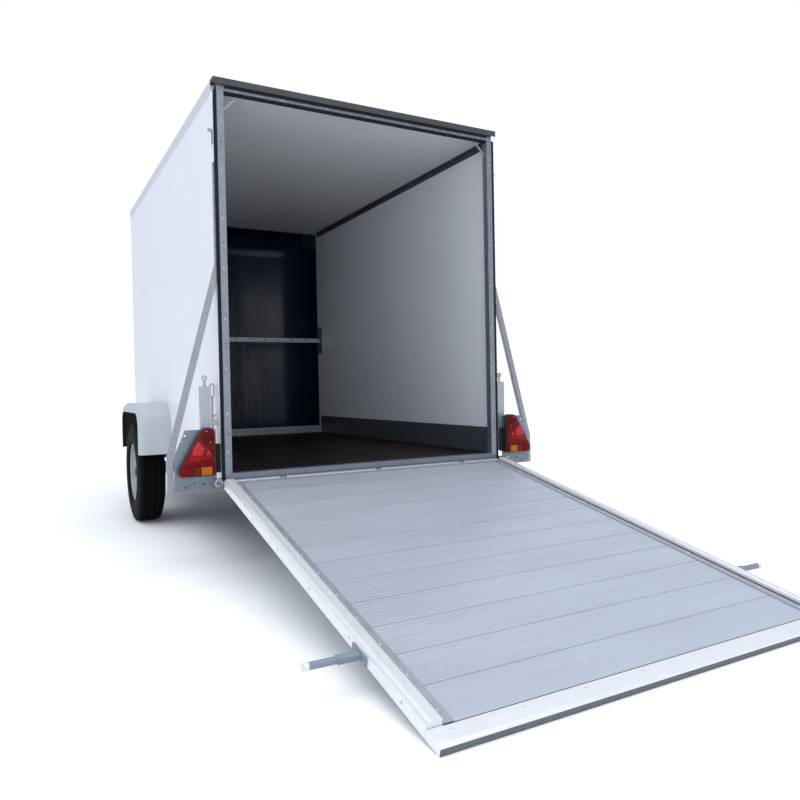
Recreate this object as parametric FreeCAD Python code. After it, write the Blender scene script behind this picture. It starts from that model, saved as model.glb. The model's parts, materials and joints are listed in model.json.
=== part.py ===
import FreeCAD, Part
import math
import os

# Enclosed cargo trailer with a full-width rear ramp, open to the ground.
# Millimetres.  +X runs forward to the coupling, +Y is the left side, +Z is up and Z = 0 is the ground.
# The pieces are built with X = 0 at the rear face of the portal and are moved together at the end, so
# that the origin is under the middle of the whole vehicle.

V = FreeCAD.Vector
AXIS_X = V(1, 0, 0)
AXIS_Y = V(0, 1, 0)
AXIS_Z = V(0, 0, 1)

SEAT_GAP = 0.3             # between pieces that seat on each other round a curve
MOVE_GAP = 5.0             # between a moving piece and its neighbours

# Body
body_length = 2700.0       # straight side walls, from the portal's rear face
body_width = 1610.0        # over the side walls
inner_height = 1805.0      # floor to ceiling
floor_top = 460.0
floor_thick = 15.0
wall_thick = 15.0
wall_drop = 35.0           # side walls reach this far below the floor's top
roof_thick = 25.0
nose_length = 420.0
nose_thick = 9.0
nose_side_turn = 10.0      # degrees, where the nose leaves the side walls
nose_front_radius = 2300.0
nose_corner_radius = 330.0
nose_top_radius = 190.0

# Rear portal
post_width = 33.0
post_depth = 40.0
header_height = 40.0
portal_wall = 2.0
header_drop = 4.0          # the header hangs this far below the ceiling
seal_depth = 12.0
header_seal_height = 26.0
stay_reach = 92.0          # corner stay, from the corner along the post and the header
stay_width = 18.0
stay_thick = 3.0
sill_depth = 50.0
sill_height = 72.0

# Roof trim
trim_top = 25.0            # above the roof panel
trim_inset = 45.0
trim_lap = 35.0            # down over the side wall
trim_thick = 4.0
rear_trim_overhang = 16.0
rear_trim_depth = 60.0
rear_trim_lip = 16.0

# Linings
kick_height = 148.0
kick_thick = 1.5
angle_leg = 31.0
angle_thick = 2.0
crossbar_height = 36.0
crossbar_depth = 40.0
crossbar_rise = 816.0      # above the floor
crossbar_plate_height = 236.0
crossbar_plate_length = 110.0
crossbar_plate_thick = 4.0
front_rail_height = 60.0
front_rail_depth = 20.0
front_rail_groove = 2.0    # let into the floor
lining_wall = 3.0

# Chassis
rail_width = 60.0
rail_height = 80.0
chassis_wall = 3.0
rail_offset = 550.0        # centre of each side rail from the middle of the trailer
cross_width = 50.0
cross_height = 40.0
cross_positions = (640.0, 1250.0, 1830.0, 2370.0, 2640.0)
nose_bearer_setback = 190.0
nose_bearer_reach = 430.0
drawbar_start = 2010.0
drawbar_end = 3850.0
drawbar_width = 50.0
drawbar_height = 80.0
drawbar_wall = 5.0
drawbar_nose_offset = 45.0
head_plate_length = 290.0
head_plate_width = 280.0
head_plate_thick = 6.0

# Overrun coupling
housing_length = 250.0
housing_width = 84.0
housing_height = 84.0
gaiter_length = 120.0
gaiter_radius = 40.0
gaiter_folds = 6
head_length = 190.0
head_width = 66.0
ball_radius = 25.0
ball_clearance = 0.25
socket_depth = 16.0
coupling_setback = 40.0    # ball centre behind the front of the coupling head
brake_lever_length = 330.0
brake_rod_radius = 5.0

# Wheels
axle_x = 1650.0
tyre_radius = 325.0
tyre_width = 170.0
tyre_bulge_radius = 262.0   # where the sidewalls are widest
tyre_gap = 13.0            # tyre to side wall
rim_seat_radius = 178.0
rim_flange_radius = 193.0
rim_thick = 4.0
rim_width = 140.0
rim_well_depth = 26.0
hand_hole_count = 10
hand_hole_radius = 10.0
disc_offset = 30.0         # wheel disc outboard of the tyre's middle
drum_radius = 105.0
drum_width = 52.0
backplate_thick = 4.0
spindle_radius = 20.0
bearing_clearance = 0.5
drum_hub_wall = 12.0
hub_cap_radius = 32.0
hub_cap_length = 34.0
axle_tube = 70.0
axle_wall = 5.0
arm_length = 150.0
arm_width = 28.0
arm_height = 64.0
mudguard_half_length = 420.0
mudguard_width = 190.0
mudguard_bottom = 465.0
mudguard_top = 780.0
mudguard_thick = 3.0
mudguard_corner = 150.0    # radius at the two ends of the flat top
mudguard_edge = 46.0       # radius along the outboard edge
mudguard_lip = 58.0        # outboard side, from the outline in to the wheel opening

# Jockey wheel
jockey_x = 3680.0
jockey_offset = 176.0      # to the right of the middle
jockey_outer_radius = 24.0
jockey_inner_radius = 20.0
jockey_outer_bottom = 262.0
jockey_outer_top = 690.0
jockey_inner_top = 560.0
jockey_wheel_radius = 105.0
jockey_wheel_width = 60.0
jockey_trail = 62.0
jockey_pin_radius = 8.0
fork_thick = 5.0
fork_gap = 6.0
clamp_height = 50.0
clamp_wall = 9.0

# Ramp, laid out along its own slope: s runs out from the hinge axis, n is square to the deck
ramp_length = 1930.0       # hinge axis to the far edge
ramp_width = 1622.0
hinge_x = -34.0
hinge_z = 420.0
deck_top = 8.0             # n of the deck's upper face
deck_thick = 27.0
deck_start = 16.0
plank_count = 12
plank_skin = 1.5
plank_web = 3.0
ramp_rail_width = 45.0
ramp_rail_top = 27.0
ramp_rail_wall = 3.0
ramp_rail_start = 20.0
ramp_rail_chamfer = 12.0
ramp_flange_width = 35.0
ramp_flange_thick = 3.0
end_strip_length = 65.0
pin_radius = 8.0
pin_clearance = 0.4
knuckle_radius = 14.0
lug_width = 20.0
outer_lug_width = 12.0
boss_radius = 21.0
lug_positions = (-520.0, 0.0, 520.0)
latch_s = 1500.0
latch_plate_length = 90.0
latch_plate_thick = 5.0
latch_arm_width = 26.0
latch_arm_reach = 72.0     # out from the rail
latch_grip_reach = 172.0
latch_grip_radius = 11.0

# Side brackets, lamps and braces
brace_outer = 1052.0       # lower end, from the middle of the trailer
brace_width = 28.0
brace_depth = 24.0
brace_wall = 2.5
brace_strap = 5.0          # where it lies flat on the side wall
brace_knee = 550.0
brace_wall_z = 1453.0
brace_top = 1927.0
bracket_height = 45.0
bracket_depth = 34.0
bracket_top = 438.0
bracket_wall = 4.0
lamp_corners = ((841.0, 460.0), (1006.0, 485.0), (1006.0, 497.0), (896.0, 676.0), (848.0, 671.0))
lamp_depth = 44.0
lamp_plate_thick = 3.0
lamp_plate_inner = 831.0
lamp_plate_top = 674.0
lamp_plate_top_outer = 972.0
assist_x = 62.0
assist_inner = 841.0       # spring channel, from the middle of the trailer
assist_outer = 887.0
assist_channel_depth = 34.0
assist_wall = 3.0
assist_bottom = 470.0
assist_top = 875.0
assist_eye_z = 914.0
assist_eye_radius = 13.0
pull_rod_y = 822.0
pull_rod_radius = 5.0
shackle_bottom = 818.0
shackle_top = 891.0
shackle_radius = 11.0
hook_z = 2012.0
hook_height = 70.0
hook_width = 26.0
hook_thick = 4.0

half_width = body_width / 2
inner_half = half_width - wall_thick
ceiling = floor_top + inner_height
floor_bottom = floor_top - floor_thick
wall_bottom = floor_top - wall_drop
roof_top = ceiling + roof_thick
header_seal_depth = rear_trim_overhang - trim_thick - SEAT_GAP
nose_front = body_length + nose_length
rail_bottom = floor_bottom - rail_height
header_bottom = ceiling - header_drop
header_top = header_bottom + header_height
drawbar_top = floor_bottom - cross_height
drawbar_bottom = drawbar_top - drawbar_height
tyre_inner = half_width + tyre_gap
tyre_middle = tyre_inner + tyre_width / 2
deck_bottom = deck_top - deck_thick
ramp_half = ramp_width / 2
ramp_inner_half = ramp_half - ramp_rail_width
bracket_reach = brace_outer - brace_width - SEAT_GAP
shaft_z = drawbar_top + head_plate_thick + housing_height / 2
head_start = drawbar_end + gaiter_length
coupling_front = head_start + head_length
ball_x = coupling_front - coupling_setback
ball_z = shaft_z - 12.0
ramp_slope = math.asin(hinge_z / math.hypot(ramp_length, deck_bottom)) - math.atan(-deck_bottom / ramp_length)
ramp_tip_x = hinge_x - ramp_length * math.cos(ramp_slope) + min(
    -deck_top * math.sin(ramp_slope), -deck_bottom * math.sin(ramp_slope))
origin_x = (coupling_front + ramp_tip_x) / 2

nodes = {}


def box(x0, x1, y0, y1, z0, z1):
    return Part.makeBox(x1 - x0, y1 - y0, z1 - z0, V(x0, y0, z0))


def tube_x(x0, x1, y0, y1, z0, z1, wall):
    """A rectangular tube along X, open at both ends."""
    return box(x0, x1, y0, y1, z0, z1).cut(box(x0, x1, y0 + wall, y1 - wall, z0 + wall, z1 - wall))


def tube_y(x0, x1, y0, y1, z0, z1, wall):
    """A rectangular tube along Y, open at both ends."""
    return box(x0, x1, y0, y1, z0, z1).cut(box(x0 + wall, x1 - wall, y0, y1, z0 + wall, z1 - wall))


def rod(start, end, radius):
    return Part.makeCylinder(radius, (end - start).Length, start, end - start)


def prism(points, path):
    """A straight prism: a closed outline of points, pushed along path."""
    outline = Part.makePolygon([V(*p) for p in points] + [V(*points[0])])
    return Part.Face(outline).extrude(path)


def prism_xy(points, z0, z1):
    return prism([(x, y, z0) for x, y in points], V(0, 0, z1 - z0))


def prism_yz(points, x0, x1):
    return prism([(x0, y, z) for y, z in points], V(x1 - x0, 0, 0))


def prism_xz(points, y0, y1):
    return prism([(x, y0, z) for x, z in points], V(0, y1 - y0, 0))


def turned(points, centre):
    """A ring or disc about the Y axis through centre; points are (radius, y) pairs."""
    cx, cz = centre
    outline = Part.makePolygon([V(cx, y, cz + r) for r, y in points + points[:1]])
    return Part.Face(outline).revolve(V(cx, 0, cz), AXIS_Y, 360)


def mirrored(shape):
    return shape.mirror(V(0, 0, 0), AXIS_Y)


def both_sides(shape):
    return [shape, mirrored(shape)]


def add(name, *shapes):
    nodes[name] = list(shapes)


def add_pair(name, shape):
    """The same piece as two nodes, one each side; the shape given is the left one."""
    add(name + "_left", shape)
    add(name + "_right", mirrored(shape))


# ---------------------------------------------------------------- body panels

def nose_block(inset, z0, z1):
    """The nose's outline as a solid, with every face set in by inset."""
    turn = math.radians(nose_side_turn)
    side_y = half_width - 2 * SEAT_GAP - inset / math.cos(turn)
    front_x = nose_front - inset
    radius = nose_front_radius - inset
    centre_x = front_x - radius
    slope = math.tan(turn)
    # where the turned-in side meets the front arc
    a = 1 + slope * slope
    b = -2 * (centre_x - body_length) - 2 * slope * side_y
    c = (centre_x - body_length) ** 2 + side_y ** 2 - radius ** 2
    run = (-b + math.sqrt(b * b - 4 * a * c)) / (2 * a)
    corner = V(body_length + run, side_y - slope * run, z0)
    back = V(body_length, side_y, z0)
    edges = [
        Part.LineSegment(V(back.x, -back.y, z0), back).toShape(),
        Part.LineSegment(back, corner).toShape(),
        Part.Arc(corner, V(front_x, 0, z0), V(corner.x, -corner.y, z0)).toShape(),
        Part.LineSegment(V(corner.x, -corner.y, z0), V(back.x, -back.y, z0)).toShape(),
    ]
    solid = Part.Face(Part.Wire(edges)).extrude(V(0, 0, z1 - z0))
    uprights = [e for e in solid.Edges
                if e.BoundBox.ZLength > (z1 - z0) / 2 and e.BoundBox.XMin > body_length + 1]
    return solid.makeFillet(nose_corner_radius - inset, uprights)


def nose_dome(inset, z0, z1):
    """A nose block whose top edge is rounded all along its sides and front."""
    block = nose_block(inset, z0, z1)
    rim = [e for e in block.Edges
           if e.BoundBox.ZMin > z1 - 1 and e.BoundBox.XMax > body_length + 1]
    return block.makeFillet(nose_top_radius - inset, rim)


def make_body_panels():
    wall = box(seal_depth, body_length, inner_half, half_width, wall_bottom, ceiling)
    add_pair("side_wall", wall)
    add("roof_panel", box(post_depth + SEAT_GAP, body_length, -half_width, half_width, ceiling, roof_top))

    trim = prism_yz([
        (half_width - trim_inset, roof_top), (half_width, roof_top),
        (half_width, ceiling - trim_lap + roof_thick), (half_width + trim_thick, ceiling - trim_lap + roof_thick),
        (half_width + trim_thick, roof_top + trim_top), (half_width - trim_inset, roof_top + trim_top)],
        post_depth + SEAT_GAP, body_length)
    hollow = box(post_depth + SEAT_GAP, body_length, half_width - trim_inset + trim_thick, half_width,
                 roof_top + trim_thick, roof_top + trim_top - trim_thick)
    add("roof_edge_trims", *both_sides(trim.cut(hollow)))

    rear_trim = prism_xz([
        (-rear_trim_overhang, header_top + trim_thick),
        (-rear_trim_overhang, roof_top + trim_top),
        (post_depth, roof_top + trim_top),
        (post_depth, header_top),
        (-rear_trim_overhang + trim_thick, header_top),
        (-rear_trim_overhang + trim_thick, header_top - rear_trim_lip),
        (-rear_trim_overhang, header_top - rear_trim_lip)],
        -half_width - trim_thick, half_width + trim_thick)
    add("roof_rear_trim", rear_trim)

    half = inner_half - kick_thick - 2 * SEAT_GAP
    floor = box(sill_depth, body_length, -half, half, floor_bottom, floor_top)
    tongue = nose_block(nose_thick + SEAT_GAP, floor_bottom, floor_top)
    tongue = tongue.common(box(body_length, nose_front, -half, half, floor_bottom, floor_top))
    groove = box(body_length - front_rail_depth, body_length, -half, half, floor_top - front_rail_groove, floor_top)
    add("floor_board", floor.fuse(tongue).removeSplitter().cut(groove))

    shell = nose_dome(0, wall_bottom, roof_top)
    hollow = nose_dome(nose_thick, wall_bottom - 10, roof_top - nose_thick)
    add("nose_shell", shell.cut(hollow))


def make_linings():
    kick = box(sill_depth + SEAT_GAP, body_length - crossbar_depth, inner_half - SEAT_GAP - kick_thick,
               inner_half - SEAT_GAP, floor_bottom, floor_top + kick_height)
    add("kick_plates", *both_sides(kick))
    y1 = inner_half - SEAT_GAP
    z1 = ceiling - SEAT_GAP
    angle = prism_yz([
        (y1, z1), (y1 - angle_leg, z1), (y1 - angle_leg, z1 - angle_thick),
        (y1 - angle_thick, z1 - angle_thick), (y1 - angle_thick, z1 - angle_leg), (y1, z1 - angle_leg)],
        post_depth + SEAT_GAP, body_length - crossbar_depth)
    add("ceiling_angles", *both_sides(angle))

    bar_z = floor_top + crossbar_rise
    plate_y = inner_half - SEAT_GAP - crossbar_plate_thick
    bar = tube_y(body_length - crossbar_depth, body_length, -plate_y, plate_y, bar_z, bar_z + crossbar_height,
                 lining_wall)
    middle = bar_z + crossbar_height / 2
    plate = box(body_length - crossbar_plate_length, body_length, plate_y, plate_y + crossbar_plate_thick,
                middle - crossbar_plate_height / 2, middle + crossbar_plate_height / 2)
    add("front_crossbar", bar.fuse(both_sides(plate)))
    half = inner_half - kick_thick - 2 * SEAT_GAP
    add("front_floor_rail", tube_y(body_length - front_rail_depth, body_length, -half, half,
                                   floor_top - front_rail_groove, floor_top + front_rail_height, lining_wall))


def make_portal():
    outer = inner_half - SEAT_GAP
    w = portal_wall
    post = box(0, post_depth, outer - post_width, outer, floor_top, header_bottom)
    post = post.cut(box(w, post_depth - w, outer - post_width + w, outer, floor_top, header_bottom))
    header = tube_y(0, post_depth, -outer, outer, header_bottom, header_top, w)
    add("rear_portal", header.fuse(both_sides(post)).removeSplitter())
    seal = box(0, seal_depth, inner_half, half_width, wall_bottom, header_bottom)
    opening = outer - post_width
    header_seal = box(-header_seal_depth, 0, -opening + MOVE_GAP, opening - MOVE_GAP,
                      header_top - header_seal_height, header_top)
    add("rear_seals", header_seal, *both_sides(seal))
    stay = prism_yz([
        (opening, header_bottom - stay_reach), (opening, header_bottom - stay_reach + stay_width),
        (opening - stay_reach + stay_width, header_bottom), (opening - stay_reach, header_bottom)],
        post_depth / 2, post_depth / 2 + stay_thick)
    add("corner_stays", *both_sides(stay))
    sill = box(0, sill_depth, -outer, outer, floor_top - sill_height, floor_top)
    add("rear_sill", sill.cut(box(w, sill_depth, -outer, outer, floor_top - sill_height + w, floor_top - w)))


# ---------------------------------------------------------------- chassis and drawbar

def make_chassis():
    w = chassis_wall
    rail = tube_x(sill_depth, body_length, rail_offset - rail_width / 2, rail_offset + rail_width / 2,
                  rail_bottom, floor_bottom, w)
    add("chassis_rails", *both_sides(rail))
    inside = rail_offset - rail_width / 2
    outside = rail_offset + rail_width / 2
    members = []
    for x in cross_positions:
        z0 = floor_bottom - cross_height
        members.append(tube_y(x, x + cross_width, -inside, inside, z0, floor_bottom, w))
        members += both_sides(tube_y(x, x + cross_width, outside, inner_half, z0, floor_bottom, w))
    bearer_x = body_length + nose_bearer_setback
    members.append(tube_y(bearer_x, bearer_x + cross_width, -nose_bearer_reach, nose_bearer_reach,
                          drawbar_top, floor_bottom, w))
    add("crossmembers", *members)

    start_y = inside - drawbar_width / 2
    slope = (start_y - drawbar_nose_offset) / (drawbar_end - drawbar_start)

    def bar(width, z0, z1):
        across = width / 2 * math.hypot(1, slope)
        return prism_xy([
            (drawbar_start, start_y - across), (drawbar_end, drawbar_nose_offset - across),
            (drawbar_end, drawbar_nose_offset + across), (drawbar_start, start_y + across)], z0, z1)

    w = drawbar_wall
    beam = bar(drawbar_width, drawbar_bottom, drawbar_top)
    beam = beam.cut(bar(drawbar_width - 2 * w, drawbar_bottom + w, drawbar_top - w))
    beam = beam.common(box(drawbar_start, drawbar_end, 0, inside, drawbar_bottom, drawbar_top))
    add("drawbar_beams", *both_sides(beam))
    plate_x = drawbar_end - head_plate_length
    add("drawbar_head_plate", box(plate_x, drawbar_end, -head_plate_width / 2, head_plate_width / 2,
                                  drawbar_top, drawbar_top + head_plate_thick))


def make_coupling():
    base = drawbar_top + head_plate_thick
    housing = box(drawbar_end - housing_length, drawbar_end, -housing_width / 2, housing_width / 2,
                  base, base + housing_height)
    long_edges = [e for e in housing.Edges if e.BoundBox.XLength > 1 and e.BoundBox.ZMin > base + 1]
    add("overrun_housing", housing.makeFillet(20, long_edges))
    fold = gaiter_length / gaiter_folds
    outline = [(drawbar_end, 0)]
    for i in range(gaiter_folds):
        x = drawbar_end + i * fold
        outline += [(x, gaiter_radius - 9), (x + fold / 2, gaiter_radius)]
    outline += [(head_start, gaiter_radius - 9), (head_start, 0)]
    face = Part.Face(Part.makePolygon([V(x, 0, shaft_z + r) for x, r in outline + outline[:1]]))
    add("shaft_gaiter", face.revolve(V(0, 0, shaft_z), AXIS_X, 360))

    head = box(head_start, coupling_front, -head_width / 2, head_width / 2,
               ball_z - socket_depth, shaft_z + 34)
    front = [e for e in head.Edges if e.BoundBox.ZLength > 1 and e.BoundBox.XMin > coupling_front - 1]
    head = head.makeFillet(head_width / 2 - 2, front)
    top = [e for e in head.Edges if e.BoundBox.ZMin > shaft_z + 33 and e.BoundBox.XMax > head_start + 1]
    head = head.makeFillet(10, top)
    socket_r = ball_radius + ball_clearance
    socket = Part.makeSphere(socket_r, V(ball_x, 0, ball_z))
    mouth = Part.makeCylinder(socket_r, socket_depth + 1, V(ball_x, 0, ball_z - socket_depth - 1), AXIS_Z)
    add("coupling_head", head.cut(socket.fuse(mouth)))

    lever_z = shaft_z + 34
    lever = prism_xz([
        (coupling_front - 60, lever_z), (head_start + 60, lever_z), (head_start + 15, lever_z + 42),
        (head_start - 70, lever_z + 58), (head_start - 70, lever_z + 70), (head_start + 25, lever_z + 56),
        (head_start + 75, lever_z + 22), (coupling_front - 60, lever_z + 22)], -14, 14)
    add("coupling_lever", lever)

    side = housing_width / 2
    pivot_x = drawbar_end - 150
    brake = prism_xz([
        (pivot_x - 16, base + 30), (pivot_x + 16, base + 30), (pivot_x - 70, base + brake_lever_length),
        (pivot_x - 92, base + brake_lever_length)], side, side + 10)
    grip = rod(V(pivot_x - 81, side + 5, base + brake_lever_length), V(pivot_x - 112, side + 5,
               base + brake_lever_length + 116), 13)
    add("hand_brake_lever", brake.fuse(grip))
    start = V(drawbar_end - housing_length, 0, shaft_z - 60)
    bracket = box(start.x, start.x + 8, -14, 14, shaft_z - 74, drawbar_top)
    brake_rod = rod(start, V(axle_x + arm_length + axle_tube / 2, 0, start.z), brake_rod_radius)
    add("brake_rod", bracket.fuse(brake_rod))


# ---------------------------------------------------------------- axle and wheels

def make_axle():
    beam_x = axle_x + arm_length
    beam_z = rail_bottom - axle_tube / 2
    arm_outer = half_width - MOVE_GAP
    arm_inner = arm_outer - arm_width
    add("axle_tube", tube_y(beam_x - axle_tube / 2, beam_x + axle_tube / 2, -arm_inner, arm_inner,
                            beam_z - axle_tube / 2, beam_z + axle_tube / 2, axle_wall))
    arm = prism_xz([
        (axle_x - 24, tyre_radius - 24), (beam_x + 30, beam_z - arm_height / 2),
        (beam_x + 30, beam_z + arm_height / 2), (axle_x - 24, tyre_radius + 24)], arm_inner, arm_outer)
    hub_face = tyre_middle + disc_offset
    centre = (axle_x, tyre_radius)
    spindle = rod(V(axle_x, arm_outer, tyre_radius), V(axle_x, hub_face + 10, tyre_radius), spindle_radius)
    plate_y = hub_face - rim_thick - drum_width - 3 - backplate_thick
    backplate = turned([(0, plate_y), (drum_radius, plate_y), (drum_radius, plate_y + backplate_thick),
                        (0, plate_y + backplate_thick)], centre)
    add("suspension_arms", *both_sides(arm.fuse(spindle)))
    backplate = backplate.cut(rod(V(axle_x, 0, tyre_radius), V(axle_x, hub_face, tyre_radius), spindle_radius))
    add("brake_backplates", *both_sides(backplate))
    bore = spindle_radius + bearing_clearance
    drum_inner = plate_y + backplate_thick + 3
    drum_outer = hub_face - rim_thick
    drum = turned([
        (bore, drum_inner), (drum_radius, drum_inner), (drum_radius, drum_outer),
        (bore + drum_hub_wall, drum_outer), (bore + drum_hub_wall, hub_face + 12), (bore, hub_face + 12)], centre)
    cap = turned([
        (0, hub_face + 12), (hub_cap_radius, hub_face + 12), (hub_cap_radius, hub_face + 18),
        (hub_cap_radius - 5, hub_face + hub_cap_length), (0, hub_face + hub_cap_length)], centre)
    add_pair("brake_drum", drum.fuse(cap))


def make_wheels():
    centre = (axle_x, tyre_radius)
    inner = tyre_middle - rim_width / 2
    outer = tyre_middle + rim_width / 2
    seat = rim_seat_radius
    well = seat - rim_well_depth
    hub_face = tyre_middle + disc_offset
    hub_bore = spindle_radius + bearing_clearance + drum_hub_wall + SEAT_GAP
    t = rim_thick
    barrel = turned([
        (rim_flange_radius, inner), (rim_flange_radius, inner + t), (seat, inner + t + 5),
        (seat, inner + 34), (well, inner + 48), (well, inner + 78), (seat, inner + 94),
        (seat, outer - t - 5), (rim_flange_radius, outer - t), (rim_flange_radius, outer),
        (seat - t, outer), (seat - t, inner + 94 + t), (well - t, inner + 78 + t),
        (well - t, inner + 48 - t), (seat - t, inner + 34 - t), (seat - t, inner)], centre)
    edge = well - t + 1
    disc = turned([
        (hub_bore, hub_face - t), (hub_bore, hub_face), (edge - 57, hub_face), (edge - 33, hub_face + 9),
        (edge - 11, hub_face - 6), (edge, hub_face - 20), (edge, hub_face - 26),
        (edge - 14, hub_face - 12), (edge - 34, hub_face + 9 - t), (edge - 56, hub_face - t)], centre)
    rim = barrel.fuse(disc)
    hand_holes = []
    for i in range(hand_hole_count):
        angle = 2 * math.pi * (i + 0.5) / hand_hole_count
        x = axle_x + (edge - 22) * math.cos(angle)
        z = tyre_radius + (edge - 22) * math.sin(angle)
        hand_holes.append(rod(V(x, hub_face - 20, z), V(x, outer, z), hand_hole_radius))
    add_pair("wheel_rim", rim.cut(hand_holes))

    bead = seat + SEAT_GAP
    left = tyre_middle - tyre_width / 2
    right = tyre_middle + tyre_width / 2
    grip = rim_thick + SEAT_GAP
    shoulder = tyre_radius - 10
    profile = [
        (inner + grip + 9, bead), (inner + grip, rim_flange_radius + 5), (left, tyre_bulge_radius),
        (left + 17, shoulder), (tyre_middle, tyre_radius), (right - 17, shoulder), (right, tyre_bulge_radius),
        (outer - grip, rim_flange_radius + 5), (outer - grip - 9, bead)]
    section = [V(axle_x, y, tyre_radius + r) for y, r in profile]
    edges = [
        Part.LineSegment(section[0], section[1]).toShape(),
        Part.Arc(section[1], section[2], section[3]).toShape(),
        Part.Arc(section[3], section[4], section[5]).toShape(),
        Part.Arc(section[5], section[6], section[7]).toShape(),
        Part.LineSegment(section[7], section[8]).toShape(),
        Part.LineSegment(section[8], section[0]).toShape()]
    tyre = Part.Face(Part.Wire(edges)).revolve(V(axle_x, 0, tyre_radius), AXIS_Y, 360)
    add_pair("tyre", tyre)


def make_mudguards():
    y0 = half_width + SEAT_GAP
    y1 = y0 + mudguard_width

    def loaf(inset, edge_radius):
        """A block with a flat top, rounded at both ends and along its outboard edge."""
        half = mudguard_half_length - inset
        block = box(axle_x - half, axle_x + half, y0, y1 - inset, mudguard_bottom, mudguard_top - inset)
        ends = [e for e in block.Edges if e.BoundBox.YLength > 1 and e.BoundBox.ZMin > mudguard_bottom + 1]
        block = block.makeFillet(mudguard_corner - inset, ends)
        outboard = [e for e in block.Edges
                    if e.BoundBox.YMin > y1 - inset - 1 and e.BoundBox.ZMax > mudguard_bottom + 1]
        return block.makeFillet(edge_radius, outboard)

    guard = loaf(0, mudguard_edge).cut(loaf(mudguard_thick, mudguard_edge - mudguard_thick))
    half = mudguard_half_length - mudguard_lip
    opening = box(axle_x - half, axle_x + half, y1 - mudguard_edge, y1, mudguard_bottom, mudguard_top - mudguard_lip)
    ends = [e for e in opening.Edges if e.BoundBox.YLength > 1 and e.BoundBox.ZMin > mudguard_bottom + 1]
    guard = guard.cut(opening.makeFillet(mudguard_corner - mudguard_lip, ends))
    add("mudguards", *both_sides(guard))


# ---------------------------------------------------------------- jockey wheel

def make_jockey():
    x, y = jockey_x, -jockey_offset
    outer = rod(V(x, y, jockey_outer_bottom), V(x, y, jockey_outer_top), jockey_outer_radius)
    bore_top = jockey_inner_top + 2
    bore = rod(V(x, y, jockey_outer_bottom), V(x, y, bore_top), jockey_inner_radius + SEAT_GAP)
    add("jockey_outer_tube", outer.cut(bore))
    base = drawbar_top + head_plate_thick
    ring_r = jockey_outer_radius + SEAT_GAP
    ring = rod(V(x, y, base), V(x, y, base + clamp_height), ring_r + clamp_wall)
    foot = box(x - 40, x + 40, -head_plate_width / 2, -head_plate_width / 2 + 46, base, base + 10)
    web = box(x - 9, x + 9, y, -head_plate_width / 2 + 46, base, base + clamp_height)
    hole = rod(V(x, y, base - 1), V(x, y, base + clamp_height + 1), ring_r)
    add("jockey_clamp", ring.fuse([foot, web]).cut(hole))
    top = jockey_outer_top
    crank = rod(V(x, y, top), V(x, y, top + 22), 9)
    arm = box(x - 8, x + 110, y - 8, y + 8, top + 22, top + 30)
    knob = rod(V(x + 100, y, top + 30), V(x + 100, y, top + 108), 12)
    add("jockey_crank", crank.fuse([arm, knob]))

    axle_z = jockey_wheel_radius
    wheel_x = x - jockey_trail
    fork_top = 2 * jockey_wheel_radius + fork_gap
    inner = rod(V(x, y, fork_top), V(x, y, jockey_inner_top), jockey_inner_radius)
    half = jockey_wheel_width / 2 + fork_gap
    crown = box(wheel_x - 30, x + 26, y - half - fork_thick, y + half + fork_thick, fork_top,
                fork_top + fork_thick)
    cheeks = []
    for side in (-1, 1):
        ya = y + side * half
        yb = ya + side * fork_thick
        cheeks.append(prism_xz([
            (wheel_x - 18, axle_z - 16), (wheel_x + 18, axle_z - 16), (x + 26, fork_top),
            (wheel_x - 30, fork_top)], min(ya, yb), max(ya, yb)))
    pin = rod(V(wheel_x, y - half - fork_thick - 4, axle_z), V(wheel_x, y + half + fork_thick + 4, axle_z),
              jockey_pin_radius)
    add("jockey_fork", crown.fuse(cheeks + [pin, inner]))
    w = jockey_wheel_width / 2
    centre = (wheel_x, axle_z)
    hub_r = 62.0
    bore_r = jockey_pin_radius + bearing_clearance
    add("jockey_rim", turned([
        (bore_r, y - w), (24, y - w), (28, y - 9), (hub_r - 12, y - 9), (hub_r - 8, y - w + 4), (hub_r, y - w + 4),
        (hub_r, y + w - 4), (hub_r - 8, y + w - 4), (hub_r - 12, y + 9), (28, y + 9), (24, y + w),
        (bore_r, y + w)], centre))
    rubber_r = jockey_wheel_radius
    add("jockey_tyre", turned([
        (hub_r + SEAT_GAP, y - w + 4), (rubber_r - 20, y - w), (rubber_r - 6, y - w + 5), (rubber_r, y - w + 16),
        (rubber_r, y + w - 16), (rubber_r - 6, y + w - 5), (rubber_r - 20, y + w), (hub_r + SEAT_GAP, y + w - 4)],
        centre))


# ---------------------------------------------------------------- ramp

def on_ramp(shape):
    """Lay a piece built flat (hinge axis at the origin, ramp towards -X) down on the ramp's slope."""
    placed = shape.copy()
    placed.rotate(V(0, 0, 0), AXIS_Y, -math.degrees(ramp_slope))
    placed.translate(V(hinge_x, 0, hinge_z))
    return placed


def ramp_box(s0, s1, y0, y1, n0, n1):
    return box(-s1, -s0, y0, y1, n0, n1)


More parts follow.
